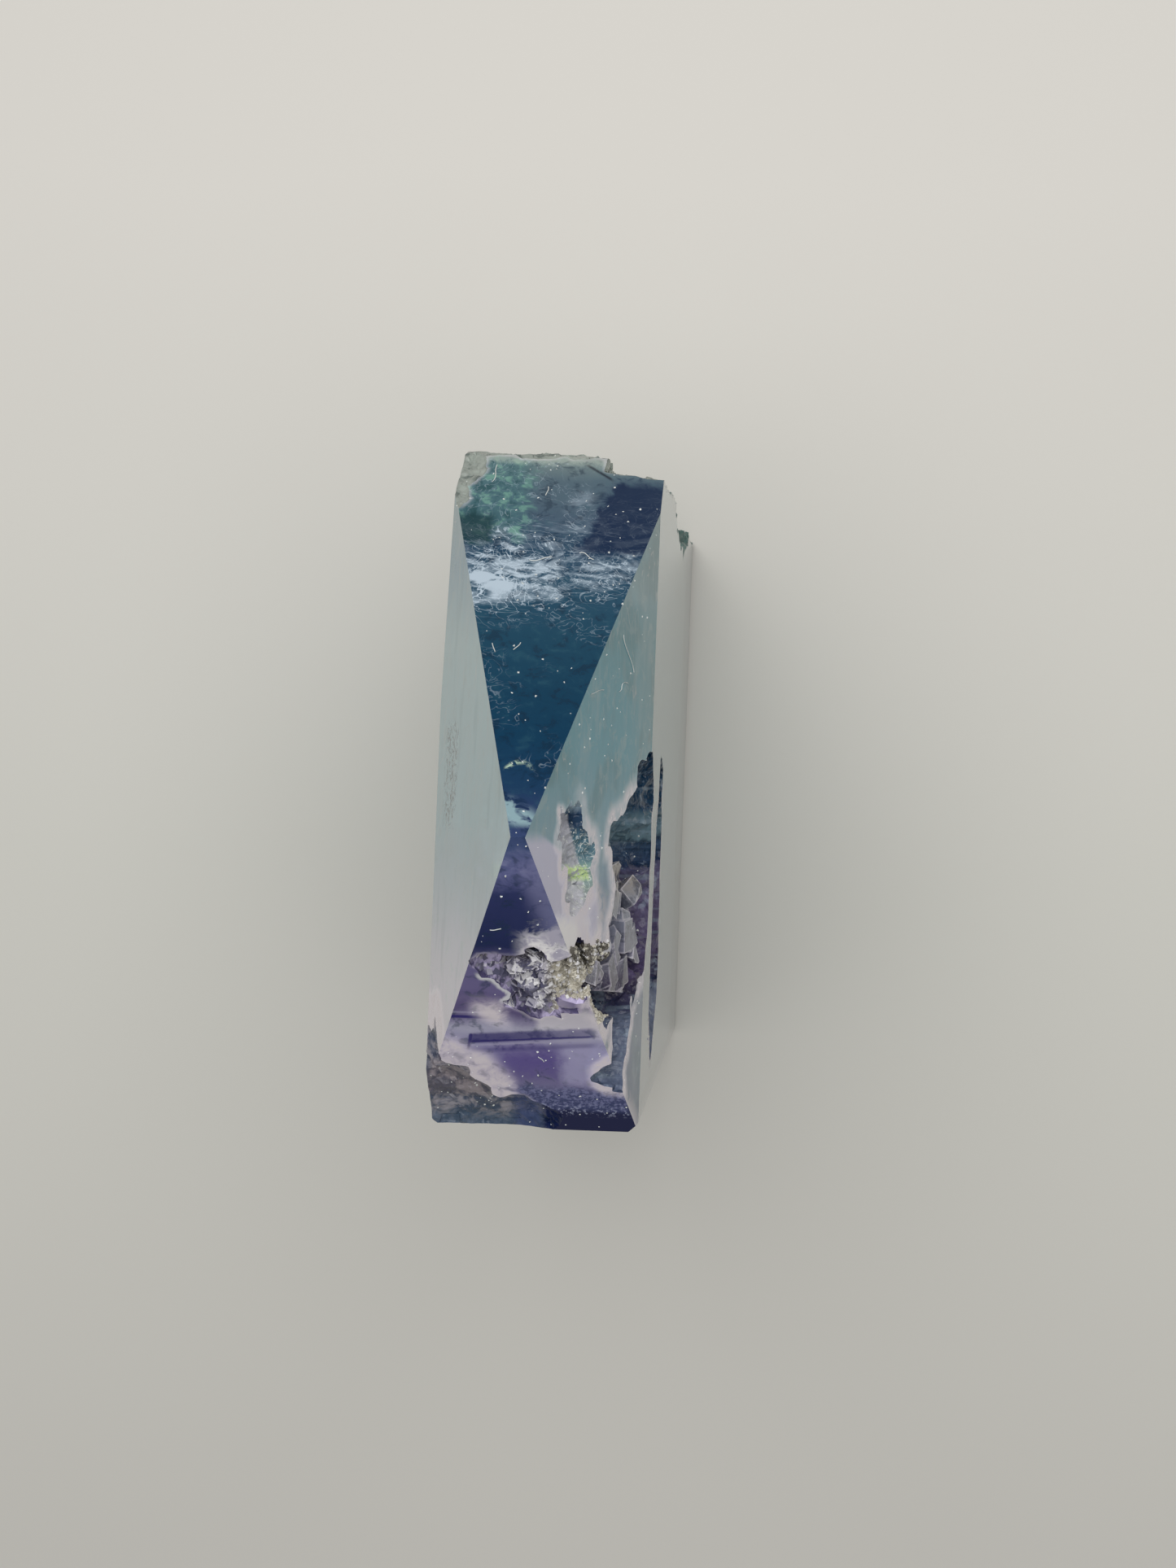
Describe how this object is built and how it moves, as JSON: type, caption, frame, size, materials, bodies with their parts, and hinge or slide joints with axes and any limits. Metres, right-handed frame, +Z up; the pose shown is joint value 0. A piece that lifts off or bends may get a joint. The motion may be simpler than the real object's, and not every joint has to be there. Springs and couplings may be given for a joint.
{
  "type": "fluorite generator",
  "caption": "Polished slab-like fluorite tower with a faceted tip, standing on its sawn base, with natural broken hollows lined by crystals.",
  "frame": {"origin": "middle of the bounding rectangle of the flat base, at the height of the base", "axes": "+Z up to the tip, X along the slab from the polished end at -X to the natural end at +X, Y through the slab with the front face at -Y"},
  "size_m": [0.0425, 0.0132, 0.0793],
  "materials": {
    "banded_fluorite": "polished, see-through banded fluorite: teal, blue and purple, with white veils and frosted natural breaks",
    "grey_druse": "crust of small grey and beige sparkling crystals",
    "clear_block_crystals": "clear to grey-lilac blocky crystals with glassy faces"
  },
  "bodies": {
    "root": {"fluorite_point": "banded_fluorite", "upper_hollow_crust": "grey_druse", "side_hollow_crust": "clear_block_crystals"}
  },
  "joints": []
}
